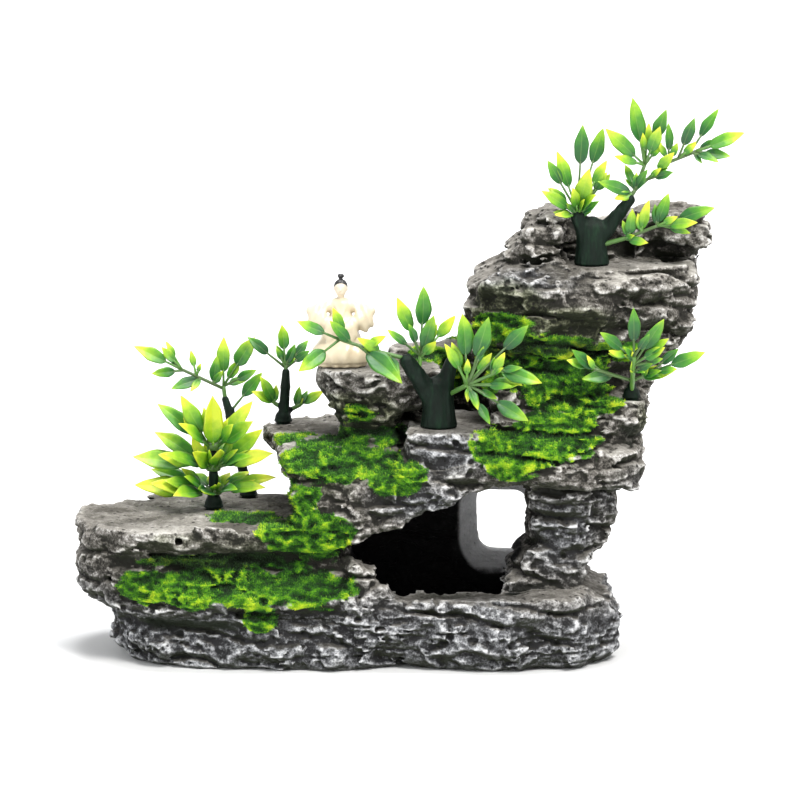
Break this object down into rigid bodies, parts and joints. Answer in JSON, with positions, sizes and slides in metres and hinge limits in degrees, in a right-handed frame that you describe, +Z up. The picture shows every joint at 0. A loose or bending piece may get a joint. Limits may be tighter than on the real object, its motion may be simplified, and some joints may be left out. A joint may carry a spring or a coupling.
{
  "type": "aquarium cave ornament",
  "caption": "Stacked cast-stone ledges round an open cave with a front mouth and a rear window, plug-in plastic plants and a small seated figurine.",
  "frame": {"origin": "middle of the flat face that the ornament rests on", "axes": "+X to the right along the longest side, +Y to the back, +Z up"},
  "size_m": [0.2218, 0.08, 0.1855],
  "materials": {
    "cast_resin": "rough cast resin in the shape of layered stone, dry-brushed pale on its ridges, dark in its pits, with moss-green paint",
    "dark_green_stem": "satin moulded plastic with a fine upright grain",
    "leaf_plastic": "soft moulded plastic, deep green at the base and yellow-green at the tips",
    "figurine_glaze": "cream glaze, satin"
  },
  "bodies": {
    "rockery": {"base_slab": "cast_resin", "left_terrace": "cast_resin", "mid_terrace": "cast_resin", "plant_foot_rock": "cast_resin", "figurine_ledge": "cast_resin", "rear_wall": "cast_resin", "right_column": "cast_resin", "summit_crag": "cast_resin", "summit_hood": "cast_resin"},
    "front_bush": {"front_bush_stem": "dark_green_stem", "front_bush_low_leaves": "leaf_plastic", "front_bush_middle_leaves": "leaf_plastic", "front_bush_top_leaves": "leaf_plastic"},
    "rear_left_plant": {"rear_left_stem": "dark_green_stem", "rear_left_spray": "leaf_plastic"},
    "rear_right_plant": {"rear_right_stem": "dark_green_stem", "rear_right_spray": "leaf_plastic", "rear_right_low_spray": "leaf_plastic", "rear_right_side_spray": "leaf_plastic"},
    "centre_plant": {"centre_stump": "dark_green_stem", "centre_left_spray": "leaf_plastic", "centre_up_spray": "leaf_plastic", "centre_right_spray": "leaf_plastic"},
    "right_plant": {"right_plant_foot": "dark_green_stem", "right_plant_spray": "leaf_plastic"},
    "summit_plant": {"summit_stump": "dark_green_stem", "summit_left_spray": "leaf_plastic", "summit_right_spray": "leaf_plastic", "summit_low_spray": "leaf_plastic"},
    "figurine": {"seated_figurine": "figurine_glaze"}
  },
  "joints": [
    {"name": "front_bush_pull", "type": "slide", "parent": "rockery", "child": "front_bush", "axis": [0, 0, 1], "range_m": [0, 0.009]},
    {"name": "rear_left_plant_pull", "type": "slide", "parent": "rockery", "child": "rear_left_plant", "axis": [0, 0, 1], "range_m": [0, 0.009]},
    {"name": "rear_right_plant_pull", "type": "slide", "parent": "rockery", "child": "rear_right_plant", "axis": [0, 0, 1], "range_m": [0, 0.009]},
    {"name": "centre_plant_pull", "type": "slide", "parent": "rockery", "child": "centre_plant", "axis": [0, 0, 1], "range_m": [0, 0.009]},
    {"name": "right_plant_pull", "type": "slide", "parent": "rockery", "child": "right_plant", "axis": [0, 0, 1], "range_m": [0, 0.009]},
    {"name": "summit_plant_pull", "type": "slide", "parent": "rockery", "child": "summit_plant", "axis": [0, 0, 1], "range_m": [0, 0.009]},
    {"name": "figurine_lift", "type": "slide", "parent": "rockery", "child": "figurine", "axis": [0, 0, 1], "range_m": [0, 0.03]}
  ]
}
